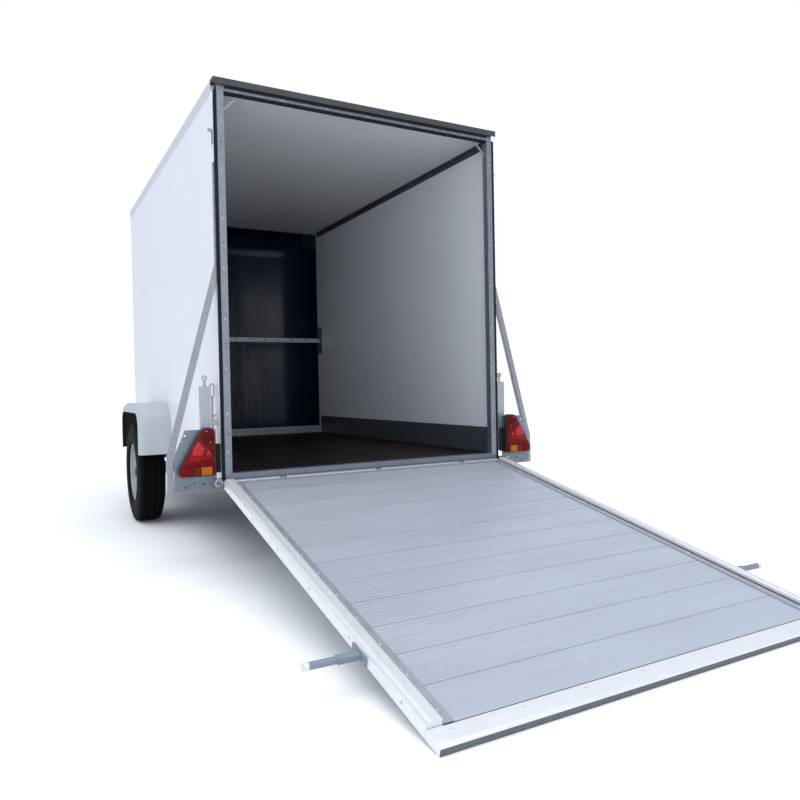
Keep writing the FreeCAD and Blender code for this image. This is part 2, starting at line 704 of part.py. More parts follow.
def make_ramp():
    rail_end = ramp_length - end_strip_length
    deck = ramp_box(deck_start, rail_end, -ramp_inner_half, ramp_inner_half, deck_bottom, deck_top)
    plank = (rail_end - deck_start) / plank_count
    hollows = [ramp_box(deck_start + i * plank + plank_web / 2, deck_start + (i + 1) * plank - plank_web / 2,
                        -ramp_inner_half, ramp_inner_half, deck_bottom + plank_skin, deck_top - plank_skin)
               for i in range(plank_count)]
    add("ramp_deck", on_ramp(deck.cut(hollows)))
    top = ramp_rail_top
    w = ramp_rail_wall
    outline = [(ramp_inner_half, deck_bottom), (ramp_half, deck_bottom), (ramp_half, top - ramp_rail_chamfer),
               (ramp_half - ramp_rail_chamfer, top), (ramp_inner_half, top)]
    hollow = [(ramp_inner_half + w, deck_bottom + w), (ramp_half - w, deck_bottom + w),
              (ramp_half - w, top - ramp_rail_chamfer - w / 2), (ramp_half - ramp_rail_chamfer - w / 2, top - w),
              (ramp_inner_half + w, top - w)]
    rail = prism_yz(outline, -rail_end, -ramp_rail_start).cut(prism_yz(hollow, -rail_end - 1, -ramp_rail_start + 1))
    flange = ramp_box(ramp_rail_start, rail_end, ramp_inner_half - ramp_flange_width, ramp_inner_half,
                      deck_top, deck_top + ramp_flange_thick)
    rail = rail.fuse(flange).removeSplitter()
    add("ramp_rails", *[on_ramp(side) for side in both_sides(rail)])
    add("ramp_end_strip", on_ramp(ramp_box(rail_end, ramp_length, -ramp_half, ramp_half, deck_bottom, deck_top)))

    bore = pin_radius + pin_clearance
    knuckles = []
    ends = [-ramp_half + MOVE_GAP]
    for y in lug_positions:
        ends += [y - lug_width / 2 - MOVE_GAP, y + lug_width / 2 + MOVE_GAP]
    ends.append(ramp_half - MOVE_GAP)
    for y0, y1 in zip(ends[::2], ends[1::2]):
        y0, y1 = max(y0, -ramp_inner_half), min(y1, ramp_inner_half)
        tube = rod(V(0, y0, 0), V(0, y1, 0), knuckle_radius)
        web = ramp_box(0, deck_start, y0, y1, deck_bottom + 9, deck_top - 2)
        hole = rod(V(0, y0 - 1, 0), V(0, y1 + 1, 0), bore)
        knuckles.append(on_ramp(tube.fuse(web).cut(hole)))
    add("ramp_knuckles", *knuckles)

    y0 = ramp_half
    plate = ramp_box(latch_s - latch_plate_length / 2, latch_s + latch_plate_length / 2, y0,
                     y0 + latch_plate_thick, deck_bottom, deck_top)
    grip_n = deck_bottom + latch_grip_radius
    arm = ramp_box(latch_s - latch_arm_width / 2, latch_s + latch_arm_width / 2, y0 + latch_plate_thick,
                   y0 + latch_arm_reach, deck_bottom, deck_bottom + 2 * latch_grip_radius)
    sides = [e for e in arm.Edges if e.BoundBox.YLength > 1]
    grip = rod(V(-latch_s, y0 + latch_arm_reach, grip_n), V(-latch_s, y0 + latch_grip_reach, grip_n),
               latch_grip_radius)
    latch = plate.fuse([arm.makeFillet(6, sides), grip])
    add("ramp_latches", *[on_ramp(side) for side in both_sides(latch)])


def make_hinge():
    end = ramp_half + MOVE_GAP + outer_lug_width
    add("hinge_pin", rod(V(hinge_x, -end, hinge_z), V(hinge_x, end, hinge_z), pin_radius))
    lugs = []
    for y in lug_positions:
        y0, y1 = y - lug_width / 2, y + lug_width / 2
        eye = rod(V(hinge_x, y0, hinge_z), V(hinge_x, y1, hinge_z), knuckle_radius)
        arm = box(hinge_x, 0, y0, y1, hinge_z - knuckle_radius, hinge_z + knuckle_radius / 2)
        hole = rod(V(hinge_x, y0 - 1, hinge_z), V(hinge_x, y1 + 1, hinge_z), pin_radius + SEAT_GAP)
        lugs.append(eye.fuse(arm).cut(hole))
    y0, y1 = end - outer_lug_width, end
    boss = rod(V(hinge_x, y0, hinge_z), V(hinge_x, y1, hinge_z), boss_radius)
    arm = box(hinge_x, 0, y0, y1, hinge_z - boss_radius, hinge_z + boss_radius)
    hole = rod(V(hinge_x, y0 - 1, hinge_z), V(hinge_x, y1 + 1, hinge_z), pin_radius + SEAT_GAP)
    lugs += both_sides(boss.fuse(arm).cut(hole))
    add("hinge_lugs", *lugs)


# ---------------------------------------------------------------- rear side brackets

def make_rear_sides():
    z1 = bracket_top
    z0 = z1 - bracket_height
    y0 = half_width + SEAT_GAP
    w = bracket_wall
    channel = prism_xz([
        (0, z0), (bracket_depth, z0), (bracket_depth, z0 + w), (w, z0 + w), (w, z1 - w),
        (bracket_depth, z1 - w), (bracket_depth, z1), (0, z1)], y0 - SEAT_GAP - wall_thick, bracket_reach)
    notch = box(-1, bracket_depth + 1, y0 - wall_thick - 1, y0, wall_bottom - SEAT_GAP, z1 + 1)
    bracket = channel.cut(notch)
    brace_inner = brace_outer - brace_width
    plate = prism_yz([
        (lamp_plate_inner, z1), (brace_inner, z1), (brace_inner, brace_knee),
        (lamp_plate_top_outer, lamp_plate_top), (lamp_plate_inner, lamp_plate_top)], 0, lamp_plate_thick)
    add("lamp_brackets", *both_sides(bracket.fuse(plate)))
    lamp = prism_yz(lamp_corners, -lamp_depth, 0)
    rounds = [e for e in lamp.Edges if e.BoundBox.XLength > 1]
    add("tail_lamps", *both_sides(lamp.makeFillet(6, rounds)))

    lean = (brace_outer - half_width - brace_strap) / (brace_wall_z - brace_knee)
    inner_wall_z = brace_knee + (brace_inner - half_width) / lean
    strip = prism_yz([
        (brace_outer, z0), (brace_outer, brace_knee), (half_width + brace_strap, brace_wall_z),
        (half_width + brace_strap, brace_top), (half_width, brace_top), (half_width, inner_wall_z),
        (brace_inner, brace_knee), (brace_inner, z0)], seal_depth, seal_depth + brace_depth)
    w = brace_wall
    wide_end = brace_outer - lean * (inner_wall_z - brace_knee)
    hollow = prism_yz([
        (brace_outer - w, z0), (brace_outer - w, brace_knee), (wide_end - w, inner_wall_z),
        (half_width + 2 * w, inner_wall_z), (brace_inner + w, brace_knee), (brace_inner + w, z0)],
        seal_depth + w, seal_depth + brace_depth)
    add("side_braces", *both_sides(strip.cut(hollow)))

    x0 = assist_x - assist_channel_depth / 2
    x1 = assist_x + assist_channel_depth / 2
    w = assist_wall
    channel = box(x0, x1, assist_inner, assist_outer, assist_bottom, assist_top)
    channel = channel.cut(box(x0 + w, x1, assist_inner + w, assist_outer - w, assist_bottom, assist_top - w))
    middle = (assist_inner + assist_outer) / 2
    neck = rod(V(assist_x, middle, assist_top - w), V(assist_x, middle, assist_eye_z - 6), 7)
    eye = rod(V(assist_x - 6, middle, assist_eye_z), V(assist_x + 6, middle, assist_eye_z), assist_eye_radius)
    eye_hole = rod(V(assist_x - 7, middle, assist_eye_z), V(assist_x + 7, middle, assist_eye_z), 6)
    clips = [box(x0, x1, half_width, assist_inner + w, z, z + 24) for z in (assist_bottom, assist_bottom + 220)]
    spring_assist = channel.fuse([neck, eye, *clips]).cut(eye_hole)

    rod_x = x1 + pull_rod_radius + 8
    pull_rod = rod(V(rod_x, pull_rod_y, assist_bottom), V(rod_x, pull_rod_y, shackle_bottom + 4), pull_rod_radius)
    low = V(rod_x - 4, pull_rod_y, shackle_bottom + shackle_radius)
    high = V(rod_x - 4, pull_rod_y, shackle_top - shackle_radius)
    thick = V(8, 0, 0)
    link = rod(low, low + thick, shackle_radius).fuse([
        rod(high, high + thick, shackle_radius),
        box(low.x, low.x + 8, pull_rod_y - shackle_radius, pull_rod_y + shackle_radius, low.z, high.z)])
    link_hole = box(low.x, low.x + 8, pull_rod_y - 6, pull_rod_y + 6, low.z, high.z)
    rod_clips = [box(rod_x - 9, rod_x + 9, half_width, pull_rod_y + 9, z, z + 8)
                 for z in (assist_bottom, assist_bottom + 260)]
    pull_rod = pull_rod.fuse([link.cut(link_hole), *rod_clips])
    add("spring_assists", *both_sides(spring_assist), *both_sides(pull_rod))

    plate_y = half_width
    hook = prism_yz([
        (plate_y, hook_z), (plate_y + hook_thick, hook_z), (plate_y + hook_thick, hook_z + hook_height - 14),
        (plate_y + 22, hook_z + hook_height - 4), (plate_y + 22, hook_z + hook_height),
        (plate_y, hook_z + hook_height - 8)], seal_depth + 2, seal_depth + 2 + hook_width)
    add("closing_hooks", *both_sides(hook))


def main():
    make_body_panels()
    make_linings()
    make_portal()
    make_chassis()
    make_coupling()
    make_axle()
    make_wheels()
    make_mudguards()
    make_jockey()
    make_ramp()
    make_hinge()
    make_rear_sides()
    os.makedirs("parts", exist_ok=True)
    for name, shapes in nodes.items():
        solids = [solid for shape in shapes for solid in shape.Solids]
        whole = solids[0] if len(solids) == 1 else Part.makeCompound(solids)
        whole.translate(V(-origin_x, 0, 0))
        whole.exportStep(f"parts/{name}.step")
    print(f"{len(nodes)} nodes, origin_x {origin_x:.3f}, slope {math.degrees(ramp_slope):.3f} degrees")
    for label, x, z in (("hinge", hinge_x, hinge_z), ("axle", axle_x, tyre_radius),
                        ("jockey swivel", jockey_x, 0), ("jockey wheel", jockey_x - jockey_trail,
                                                         jockey_wheel_radius), ("ball", ball_x, ball_z)):
        print(f"{label}: x {x - origin_x:.3f}, z {z:.3f}")


main()
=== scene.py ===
import json
import math
import bmesh
import bpy
from mathutils import Matrix, Vector


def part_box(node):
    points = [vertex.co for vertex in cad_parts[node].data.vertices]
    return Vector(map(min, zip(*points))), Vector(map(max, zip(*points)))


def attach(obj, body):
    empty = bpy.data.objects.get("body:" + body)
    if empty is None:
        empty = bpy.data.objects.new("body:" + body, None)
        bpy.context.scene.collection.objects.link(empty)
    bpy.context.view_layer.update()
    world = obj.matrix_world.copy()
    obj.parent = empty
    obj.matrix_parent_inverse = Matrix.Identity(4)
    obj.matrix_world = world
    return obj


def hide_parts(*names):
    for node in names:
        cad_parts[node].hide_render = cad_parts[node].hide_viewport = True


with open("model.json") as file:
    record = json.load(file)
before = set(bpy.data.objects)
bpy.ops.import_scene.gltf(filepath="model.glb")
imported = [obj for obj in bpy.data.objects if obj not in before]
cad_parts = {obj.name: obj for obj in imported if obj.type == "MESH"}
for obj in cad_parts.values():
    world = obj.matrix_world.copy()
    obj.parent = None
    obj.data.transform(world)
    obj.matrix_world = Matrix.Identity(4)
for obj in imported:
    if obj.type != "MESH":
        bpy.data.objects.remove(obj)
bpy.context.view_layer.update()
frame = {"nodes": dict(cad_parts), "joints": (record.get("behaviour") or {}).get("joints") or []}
nodes = frame["nodes"]

MM = 0.001
# X = 0 in the plans below is the rear face of the portal, in millimetres; at() gives the place in the frame
REAR_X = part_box("rear_portal")[0].x
JOINTS = {joint["name"]: joint for joint in frame["joints"]}
HINGE = Vector(JOINTS["ramp_hinge"]["pos_m"])
AXLE = Vector(JOINTS["wheel_spin_left"]["pos_m"])
JOCKEY_AXLE = Vector(JOINTS["jockey_wheel_spin"]["pos_m"])
SLOPE = math.radians(max(JOINTS["ramp_hinge"]["range_deg"]) - 90)
RAMP = Matrix.Translation(HINGE) @ Matrix.Rotation(-SLOPE, 4, "Y")


def up(value):
    return round(value / MM, 3)


OUTSIDE = up(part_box("side_wall_left")[1].y)
INSIDE = up(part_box("side_wall_left")[0].y)
BODY_LENGTH = up(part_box("side_wall_left")[1].x - REAR_X)
FLOOR = up(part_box("floor_board")[1].z)
CEILING = up(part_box("roof_panel")[0].z)
HEADER_LOW = CEILING - 4
TRIM_TOP = up(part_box("roof_rear_trim")[1].z)
RAMP_HALF = up(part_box("ramp_end_strip")[1].y)


def at(x, y, z):
    return Vector((REAR_X + x * MM, y * MM, z * MM))


def on_ramp(s, y, n):
    """A place on the ramp: s out from the hinge, n square to the deck."""
    return RAMP @ Vector((-s * MM, y * MM, n * MM))


# ---------------------------------------------------------------- shader maths

class Value:
    """One socket of a finish, so that shader maths reads as plain arithmetic."""

    def __init__(self, finish, socket):
        self.finish = finish
        self.socket = socket

    def maths(self, operation, *others, clamp=False):
        values = {i: v for i, v in enumerate((self, *others))}
        return self.finish.node("Math", {"operation": operation, "use_clamp": clamp}, values)

    def __add__(self, other):
        return self.maths("ADD", other)

    __radd__ = __add__

    def __mul__(self, other):
        return self.maths("MULTIPLY", other)

    __rmul__ = __mul__

    def __sub__(self, other):
        return self.maths("SUBTRACT", other)

    def __rsub__(self, other):
        return self.finish.node("Math", {"operation": "SUBTRACT"}, {0: other, 1: self})

    def __truediv__(self, other):
        return self.maths("DIVIDE", other)

    def __pow__(self, other):
        return self.maths("POWER", other)

    def over(self, edge, width):
        """0 below edge and 1 above it, turning over in width."""
        settings = {"interpolation_type": "SMOOTHSTEP"}
        limits = {"Value": self, "From Min": edge - width / 2, "From Max": edge + width / 2}
        return self.finish.node("MapRange", settings, limits)

    def under(self, edge, width):
        return 1 - self.over(edge, width)


class Finish:
    """A material with one Principled shader, and the nodes that feed it."""

    def __init__(self, name, colour, roughness=0.5, metallic=0.0, **constants):
        self.material = bpy.data.materials.new(name)
        self.material.use_nodes = True
        self.tree = self.material.node_tree
        self.shader = self.tree.nodes["Principled BSDF"]
        self.put("Base Color", (*colour, 1))
        self.put("Roughness", roughness)
        self.put("Metallic", metallic)
        for socket, value in constants.items():
            self.put(socket.replace("_", " "), value)

    def put(self, socket, value):
        self.link(self.shader.inputs[socket], value)
        return self

    def link(self, target, value):
        if isinstance(value, Value):
            self.tree.links.new(value.socket, target)
        else:
            target.default_value = value

    def node(self, kind, settings=None, inputs=None, out=0):
        made = self.tree.nodes.new("ShaderNode" + kind)
        for name, value in (settings or {}).items():
            if name == "stops":
                ramp = made.color_ramp.elements
                while len(ramp) < len(value):
                    ramp.new(0.5)
                for element, (place, colour) in zip(ramp, value):
                    element.position = place
                    element.color = (*colour, 1)
            else:
                setattr(made, name, value)
        for name, value in (inputs or {}).items():
            self.link(made.inputs[name], value)
        return Value(self, made.outputs[out])

    def place(self):
        return self.node("TexCoord", out="Object")

    def axes(self):
        split = self.tree.nodes.new("ShaderNodeSeparateXYZ")
        self.link(split.inputs[0], self.place())
        return [Value(self, split.outputs[i]) for i in range(3)]

    def scaled(self, x, y, z):
        return self.node("Mapping", inputs={"Vector": self.place(), "Scale": (x, y, z)})

    def noise(self, scale, detail=3.0, vector=None):
        inputs = {"Vector": vector or self.place(), "Scale": scale, "Detail": detail}
        return self.node("TexNoise", inputs=inputs)

    def mix(self, share, low, high):
        """A colour between two colours."""
        settings = {"data_type": "RGBA"}
        colours = [v if isinstance(v, Value) else (*v, 1) for v in (low, high)]
        return self.node("Mix", settings, {0: share, 6: colours[0], 7: colours[1]}, out=2)

    def bump(self, height, distance, strength=1.0, normal=None):
        inputs = {"Height": height, "Distance": distance, "Strength": strength}
        if normal:
            inputs["Normal"] = normal
        made = self.node("Bump", inputs=inputs)
        self.put("Normal", made)
        return made


# ---------------------------------------------------------------- finishes

def shades(base, low, high):
    """Two tones of one colour."""
    return [tuple(c * k for c in base) for k in (low, high)]


def white_panel():
    base = (0.83, 0.845, 0.865)
    f = Finish("white_panel", base, 0.32, Coat_Weight=0.15, Coat_Roughness=0.2)
    cloud = f.noise(1.6, 4)
    f.put("Base Color", f.mix(cloud, *shades(base, 0.955, 1.03)))
    x, y, z = f.axes()
    dust = f.noise(9, 6) * z.under(FLOOR * MM + 0.1, 0.5)
    f.put("Roughness", 0.27 + cloud * 0.1 + dust * 0.2)
    f.bump(f.noise(14, 2), 0.0015, 0.12)
    return f.material


def inside_panel():
    base = (0.60, 0.60, 0.595)
    f = Finish("inside_panel", base, 0.5)
    f.put("Base Color", f.mix(f.noise(2.2, 4), *shades(base, 0.95, 1.04)))
    f.put("Roughness", 0.42 + f.noise(7, 5) * 0.16)
    f.bump(f.noise(30, 2), 0.001, 0.15)
    return f.material


def galvanised(name="galvanised", base=(0.33, 0.35, 0.38), spangle=90.0, metallic=0.72):
    f = Finish(name, base, 0.4, metallic)
    cells = f.node("TexVoronoi", {"feature": "F1"}, {"Vector": f.place(), "Scale": spangle, "Randomness": 1.0},
                   out="Color")
    grey = f.node("RGBToBW", inputs={0: cells})
    cloud = f.noise(5, 5)
    tone = grey * 0.55 + cloud * 0.45
    f.put("Base Color", f.mix(tone, *shades(base, 0.72, 1.22)))
    f.put("Roughness", 0.3 + grey * 0.14 + cloud * 0.14)
    f.bump(cloud + grey * 0.2, 0.0008, 0.3)
    return f.material


def bright_trim():
    base = (0.72, 0.745, 0.77)
    f = Finish("bright_trim", base, 0.35, 0.45)
    grain = f.noise(40, 3, f.scaled(0.05, 1, 1))
    f.put("Base Color", f.mix(grain, *shades(base, 0.94, 1.05)))
    f.put("Roughness", 0.28 + grain * 0.15)
    return f.material


def dark_trim():
    base = (0.05, 0.055, 0.062)
    f = Finish("dark_trim", base, 0.45, 0.2)
    cloud = f.noise(12, 5)
    f.put("Base Color", f.mix(cloud, *shades(base, 0.7, 1.5)))
    f.put("Roughness", 0.34 + cloud * 0.25)
    f.bump(cloud, 0.001, 0.2)
    return f.material


def navy_gloss():
    base = (0.005, 0.017, 0.034)
    f = Finish("navy_gloss", base, 0.2, Specular_IOR_Level=0.2)
    cloud = f.noise(3, 4)
    x, y, z = f.axes()
    streaks = f.noise(15, 3, f.scaled(1, 1, 0.1)).over(0.52, 0.12) * y.over(-0.4, 0.08) * z.under(1.6, 0.9)
    f.put("Base Color", f.mix(streaks * 0.7, f.mix(cloud, *shades(base, 0.7, 1.3)), (0.06, 0.064, 0.072)))
    f.put("Roughness", 0.14 + cloud * 0.14)
    f.bump(f.noise(2.6, 1.5, f.scaled(1, 1, 0.22)), 0.03, 0.7)
    return f.material


def film_plywood():
    base = (0.011, 0.0065, 0.0065)
    f = Finish("film_plywood", base, 0.5, Specular_IOR_Level=0.12)
    grain = f.noise(22, 6, f.scaled(0.12, 1.3, 1))
    wear = f.noise(3.5, 6)
    f.put("Base Color", f.mix(grain * 0.6 + wear * 0.4, *shades(base, 0.6, 1.7)))
    f.put("Roughness", 0.36 + wear * 0.3)
    x, y, z = f.axes()
    mesh = (x * 1570).maths("SINE") * (y * 1570).maths("SINE")
    f.bump(mesh * 0.5 + grain, 0.0005, 0.35)
    return f.material


def black_rubber(name="black_rubber", base=(0.008, 0.008, 0.009), shine=0.2):
    f = Finish(name, base, 0.7, Specular_IOR_Level=shine)
    cloud = f.noise(18, 6)
    f.put("Base Color", f.mix(cloud, *shades(base, 0.7, 1.7)))
    f.put("Roughness", 0.55 + cloud * 0.3)
    f.bump(f.noise(220, 3), 0.0004, 0.3)
    return f.material


def painted_casting():
    base = (0.045, 0.048, 0.052)
    f = Finish("painted_casting", base, 0.5, 0.1)
    f.put("Base Color", f.mix(f.noise(10, 5), *shades(base, 0.7, 1.5)))
    f.bump(f.noise(160, 4), 0.0008, 0.5)
    return f.material


def black_plastic():
    base = (0.022, 0.023, 0.025)
    f = Finish("black_plastic", base, 0.45)
    cloud = f.noise(20, 4)
    f.put("Base Color", f.mix(cloud, *shades(base, 0.8, 1.4)))
    f.put("Roughness", 0.38 + cloud * 0.2)
    f.bump(f.noise(300, 2), 0.0003, 0.3)
    return f.material


def silver_plastic():
    base = (0.47, 0.51, 0.545)
    f = Finish("silver_plastic", base, 0.42)
    cloud = f.noise(5, 5)
    f.put("Base Color", f.mix(cloud, *shades(base, 0.93, 1.05)))
    f.put("Roughness", 0.34 + cloud * 0.18)
    f.bump(f.noise(260, 2), 0.0003, 0.25)
    return f.material


def silver_paint():
    base = (0.58, 0.6, 0.62)
    f = Finish("silver_paint", base, 0.3, 0.55)
    cloud = f.noise(16, 6)
    f.put("Base Color", f.mix(cloud, *shades(base, 0.85, 1.08)))
    f.put("Roughness", 0.24 + cloud * 0.2)
    return f.material


def ribbed_aluminium():
    base = (0.56, 0.60, 0.67)
    f = Finish("ribbed_aluminium", base, 0.38, 0.55)
    x, y, z = f.axes()
    brushed = f.noise(30, 5, f.scaled(1, 0.06, 1))
    cloud = f.noise(2.4, 6, f.scaled(1, 0.35, 1))
    smudge = f.noise(5.5, 7, f.scaled(1, 0.3, 1)).over(0.64, 0.22)
    tone = brushed * 0.4 + cloud * 0.6
    hinge_plank = x.over(HINGE.x - 0.162, 0.012)
    clean = f.mix(tone * (1 - hinge_plank * 0.45), *shades(base, 0.78, 1.12))
    f.put("Base Color", f.mix(smudge * (0.1 + hinge_plank * 0.5), clean, (0.30, 0.31, 0.33)))
    f.put("Roughness", 0.3 + brushed * 0.12 + cloud * 0.14)
    f.bump(brushed, 0.0004, 0.3)
    return f.material


def lens(name, base, coat=0.03):
    f = Finish(name, base, 0.25, Specular_IOR_Level=0.12, Coat_Weight=coat, Coat_Roughness=0.08)
    x, y, z = f.axes()
    prism = (y * 900).maths("SINE") * (z * 900).maths("SINE")
    f.put("Base Color", f.mix(f.noise(25, 3), *shades(base, 0.75, 1.3)))
    f.bump(prism, 0.0006, 0.35)
    return f.material


def plain(name, base, roughness=0.5, metallic=0.0, spread=(0.85, 1.15)):
    """Small parts: one tone with a little wear."""
    f = Finish(name, base, roughness, metallic)
    cloud = f.noise(24, 4)
    f.put("Base Color", f.mix(cloud, *shades(base, *spread)))
    f.put("Roughness", roughness - 0.08 + cloud * 0.16)
    return f.material


FINISHES = {
    "white": white_panel(), "inside": inside_panel(), "galvanised": galvanised(), "trim": bright_trim(),
    "dark": dark_trim(), "navy": navy_gloss(), "floor": film_plywood(), "rubber": black_rubber(),
    "casting": painted_casting(), "plastic": black_plastic(), "guard": silver_plastic(),
    "wheel": silver_paint(), "aluminium": ribbed_aluminium(), "tyre": black_rubber("tyre_rubber", (0.004, 0.004, 0.004), 0.06),
    "red": lens("red_lens", (0.15, 0.002, 0.003)), "amber": lens("amber_lens", (0.42, 0.12, 0.008)),
    "red_dark": lens("red_lens_dark", (0.09, 0.0015, 0.002)), "red_bright": lens("reflector_red", (0.24, 0.006, 0.008), 0.05),
    "facet": lens("reflector_facet", (0.46, 0.03, 0.035), 0.1),
    "amber_dark": lens("amber_lens_dark", (0.12, 0.02, 0.005)),
    "chassis": galvanised("chassis_zinc", (0.34, 0.36, 0.38), 60.0),
    "portal": galvanised("portal_zinc", (0.26, 0.29, 0.33), 90.0),
    "bracket": galvanised("bracket_zinc", (0.22, 0.25, 0.29), 80.0),
    # dark_zinc_and_painted_shade is galvanised drawn much darker: on the kick plates and ceiling angles inside the body
    # this darkness is partly a darker zinc and partly painted shade and painted dark reflection
    "dark_zinc_and_painted_shade": galvanised("dark_zinc_and_painted_shade", (0.13, 0.145, 0.165), 70.0, 0.6),
    "rail": plain("rail_aluminium", (0.80, 0.81, 0.83), 0.32, 0.4, (0.95, 1.04)),
    "flange": plain("flange_aluminium", (0.42, 0.44, 0.48), 0.4, 0.5),
    # painted_hole_shade: near-black discs laid on a face stand in for holes and sockets; their darkness is painted
    # shade
    "bolt": plain("zinc_screws", (0.62, 0.64, 0.66), 0.3, 0.7), "painted_hole_shade": plain("painted_shade_disc", (0.008, 0.008, 0.009), 0.7),
    "ply_edge": plain("board_edge", (0.20, 0.13, 0.08), 0.7, 0.0, (0.6, 1.4)),
    "white_edge": plain("white_edge_trim", (0.80, 0.815, 0.84), 0.35, 0.0, (0.97, 1.02)),
    "grip": plain("grip_blue_grey", (0.20, 0.24, 0.30), 0.5), "grip_end": plain("grip_end", (0.7, 0.7, 0.7), 0.5),
}

NODE_FINISH = {
    "white": ["side_wall_left", "side_wall_right"],
    "inside": ["roof_panel"],
    "trim": ["roof_edge_trims"],
    "dark": ["roof_rear_trim"],
    "floor": ["floor_board"],
    "navy": ["nose_shell"],
    # The kick plates and ceiling angles inside the body are darkened with painted shade.
    "dark_zinc_and_painted_shade": ["kick_plates", "ceiling_angles"],
    "bracket": ["rear_sill", "lamp_brackets", "hinge_lugs"],
    "grip": ["ramp_latches"],
    "portal": ["rear_portal"],
    "galvanised": [
        "front_crossbar", "front_floor_rail", "corner_stays",
        "hinge_pin", "side_braces",
        "closing_hooks", "jockey_outer_tube", "jockey_clamp", "jockey_crank", "jockey_fork",
        "hand_brake_lever", "brake_rod"],
    "chassis": [
        "chassis_rails", "crossmembers", "drawbar_beams", "drawbar_head_plate", "axle_tube", "suspension_arms",
        "brake_backplates"],
    "rubber": ["rear_seals", "shaft_gaiter"],
    "casting": ["overrun_housing", "coupling_head", "brake_drum_left", "brake_drum_right"],
    "plastic": ["coupling_lever"],
    "red": ["tail_lamps"],
    "aluminium": ["ramp_deck"],
    "rail": ["ramp_rails", "ramp_end_strip"],
    "flange": ["ramp_knuckles", "spring_assists"],
    "tyre": ["tyre_left", "tyre_right", "jockey_tyre"],
    "wheel": ["wheel_rim_left", "wheel_rim_right", "jockey_rim"],
    "guard": ["mudguards"],
}

for finish, names in NODE_FINISH.items():
    for name in names:
        mesh = nodes[name].data
        mesh.materials.clear()
        mesh.materials.append(FINISHES[finish])


def guard_insides():
    """The mudguards' inner faces are black."""
    low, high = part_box("mudguards")
    mesh = nodes["mudguards"].data
    mesh.materials.append(FINISHES["plastic"])
    middle = Vector(((low.x + high.x) / 2, 0, low.z + (high.z - low.z) * 0.5))
    for face in mesh.polygons:
        middle.y = math.copysign((high.y + OUTSIDE * MM) / 2, face.center.y)
        face.material_index = int((face.center - middle).dot(face.normal) < 0)


guard_insides()


# ---------------------------------------------------------------- building pieces

class Piece:
    """A mesh under way. Each method adds one closed part, planned in millimetres and set down by place."""

    def __init__(self, name, body, slot, place=at, replaces=()):
        self.name, self.body, self.slot, self.place = name, body, slot, place
        self.replaces = replaces
        self.bm = bmesh.new()
        self.skins = []

    def add(self, part, finish, soft=0.0, segments=2):
        bmesh.ops.remove_doubles(part, verts=part.verts, dist=0.00002)
        if soft:
            bmesh.ops.bevel(part, geom=part.edges[:], offset=soft * MM, segments=segments,
                            affect="EDGES", profile=0.5, material=-1)
        bmesh.ops.recalc_face_normals(part, faces=part.faces)
        if finish not in self.skins:
            self.skins.append(finish)
        for face in part.faces:
            face.material_index = self.skins.index(finish)
        mesh = bpy.data.meshes.new("part")
        part.to_mesh(mesh)
        part.free()
        self.bm.from_mesh(mesh)
        bpy.data.meshes.remove(mesh)
        return self

    def prism(self, outline, far, finish, soft=0.0, segments=2):
        """outline is a list of places, and far says where a place of it goes at the other end."""
        part = bmesh.new()
        starts = [self.place(*p) for p in outline]
        face = part.faces.new([part.verts.new(start) for start in starts])
        moved = bmesh.ops.extrude_face_region(part, geom=[face])["geom"]
        ends = [v for v in moved if isinstance(v, bmesh.types.BMVert)]
        matched = [min(ends, key=lambda v: (v.co - start).length) for start in starts]
        for vert, start in zip(matched, outline):
            vert.co = self.place(*far(*start))
        return self.add(part, finish, soft, segments)

    def block(self, low, high, finish, soft=0.0, segments=2):
        (a, b, c), (d, e, f) = low, high
        return self.prism([(a, b, c), (a, e, c), (a, e, f), (a, b, f)], lambda x, y, z: (d, y, z),
                          finish, soft, segments)

    def rods(self, spans, radius, finish, segments=10, tip=None):
        """Round bars between pairs of places, and domes where tip is smaller than radius."""
        part = bmesh.new()
        for start, end in spans:
            a, b = self.place(*start), self.place(*end)
            turn = (b - a).to_track_quat("Z", "Y").to_matrix().to_4x4()
            made = bmesh.ops.create_cone(
                part, cap_ends=True, segments=segments, radius1=radius * MM,
                radius2=(radius if tip is None else tip) * MM, depth=(b - a).length)
            bmesh.ops.transform(part, matrix=Matrix.Translation((a + b) / 2) @ turn, verts=made["verts"])
        return self.add(part, finish)

    def rivets(self, places, out, finish, radius=4.0, height=2.0):
        return self.rods([(p, tuple(a + b * height for a, b in zip(p, out))) for p in places], radius, finish,
                         10, radius * 0.55)

    def lathe(self, outline, centre, finish, steps=64, axis=(0, 1, 0)):
        """A closed outline of (along the axis, radius) pairs turned round a centre in the frame."""
        part = bmesh.new()
        across = Vector((0, 0, 1)) if axis[2] == 0 else Vector((1, 0, 0))
        verts = [part.verts.new(centre + Vector(axis) * a * MM + across * r * MM) for a, r in outline]
        edges = [part.edges.new((verts[i - 1], verts[i])) for i in range(len(verts))]
        bmesh.ops.spin(part, geom=verts + edges, cent=centre, axis=axis, angle=2 * math.pi, steps=steps,
                       use_merge=True)
        return self.add(part, finish)

    def done(self, angle=35):
        mesh = bpy.data.meshes.new(self.name)
        self.bm.to_mesh(mesh)
        self.bm.free()
        for finish in self.skins:
            mesh.materials.append(FINISHES[finish])
        mesh.shade_smooth()
        mesh.set_sharp_from_angle(angle=math.radians(angle))
        made = bpy.data.objects.new(self.name, mesh)
        bpy.context.scene.collection.objects.link(made)
        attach(made, self.body)
        if self.replaces:
            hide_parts(*self.replaces)
        return made


def steps(start, end, count):
    return [start + (end - start) * i / (count - 1) for i in range(count)]


def arc(centre, radius, start, end, count):
    """Places on an arc, angles in degrees."""
    turns = [math.radians(a) for a in steps(start, end, count)]
    return [(centre[0] + radius * math.cos(t), centre[1] + radius * math.sin(t)) for t in turns]


